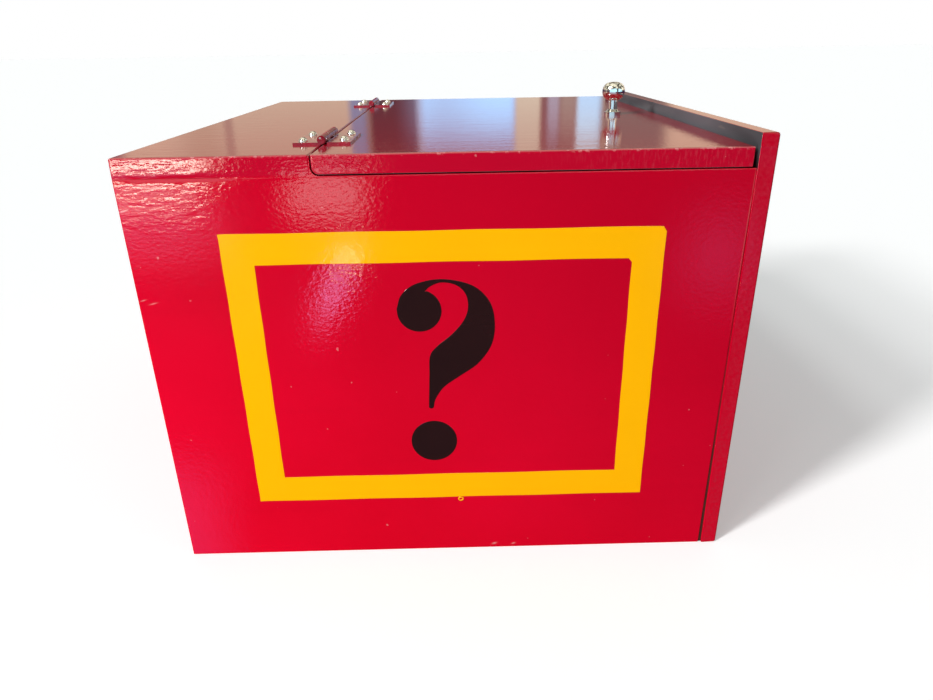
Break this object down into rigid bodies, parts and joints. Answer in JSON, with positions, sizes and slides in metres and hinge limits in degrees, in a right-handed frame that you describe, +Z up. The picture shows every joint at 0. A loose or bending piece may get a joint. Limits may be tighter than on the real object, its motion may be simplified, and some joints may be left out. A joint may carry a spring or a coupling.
{
  "type": "jack in the box",
  "caption": "Painted plywood box with a hinged lid and ball knob, over a jester on a compression spring that rises as the lid opens.",
  "frame": {"origin": "middle of the footprint, on the surface the box stands on", "axes": "+X from the rear panel to the front board, +Y across the box to the right side panel, +Z up"},
  "size_m": [0.2798, 0.3188, 0.225],
  "materials": {
    "red_paint": "gloss crimson enamel on plywood",
    "hinge_paint": "gloss crimson enamel over steel",
    "bright_steel": "bright plated",
    "plain_steel": "zinc plated",
    "catch_plastic": "moulded",
    "ferrite": "sintered magnet",
    "bare_wood": "sanded beech",
    "head_paint": "satin paint on turned wood",
    "nose_paint": "gloss paint on turned wood",
    "eye_enamel": "polished",
    "sleeve_cloth": "woven cotton",
    "cap_felt": "wool felt",
    "ruff_cloth": "starched cotton",
    "glove_felt": "white felt",
    "bell_brass": "polished"
  },
  "bodies": {
    "root": {"left_side_panel": "red_paint", "right_side_panel": "red_paint", "rear_panel": "red_paint", "bottom_panel": "red_paint", "rear_top_board": "red_paint", "front_board": "red_paint", "panel_pins": "plain_steel", "front_screws": "plain_steel", "left_hinge_fixed_leaf": "hinge_paint", "left_hinge_pin": "hinge_paint", "right_hinge_fixed_leaf": "hinge_paint", "right_hinge_pin": "hinge_paint", "fixed_leaf_screws": "bright_steel", "catch_case": "catch_plastic", "catch_magnet": "ferrite", "catch_poles": "plain_steel", "catch_screws": "plain_steel", "jack_base": "bare_wood", "base_screws": "plain_steel", "spring": "plain_steel", "lower_staples": "plain_steel", "body_sleeve": "sleeve_cloth"},
    "lid": {"lid": "red_paint", "left_hinge_lid_leaf": "hinge_paint", "right_hinge_lid_leaf": "hinge_paint", "lid_leaf_screws": "bright_steel", "knob": "bright_steel", "knob_screw": "plain_steel", "knob_washer": "plain_steel", "strike_plate": "plain_steel", "strike_screw": "plain_steel"},
    "jack": {"upper_staples": "plain_steel", "shoulder_disc": "bare_wood", "neck_peg": "bare_wood", "head": "head_paint", "nose": "nose_paint", "eyes": "eye_enamel", "cap": "cap_felt", "cap_bells": "bell_brass", "ruff": "ruff_cloth", "left_arm": "sleeve_cloth", "right_arm": "sleeve_cloth", "left_hand": "glove_felt", "right_hand": "glove_felt"}
  },
  "joints": [
    {"name": "lid_hinge", "type": "hinge", "parent": "root", "child": "lid", "pos_m": [-0.0567, 0, 0.208], "axis": [0, -1, 0], "range_deg": [0, 170]},
    {"name": "jack_rise", "type": "slide", "parent": "root", "child": "jack", "axis": [0, 0, 1], "range_m": [0, 0.14], "deforming": ["spring", "body_sleeve"]}
  ],
  "couplings": [
    {"joint": "jack_rise", "follows": "lid_hinge", "m_per_rad": 0.047}
  ]
}
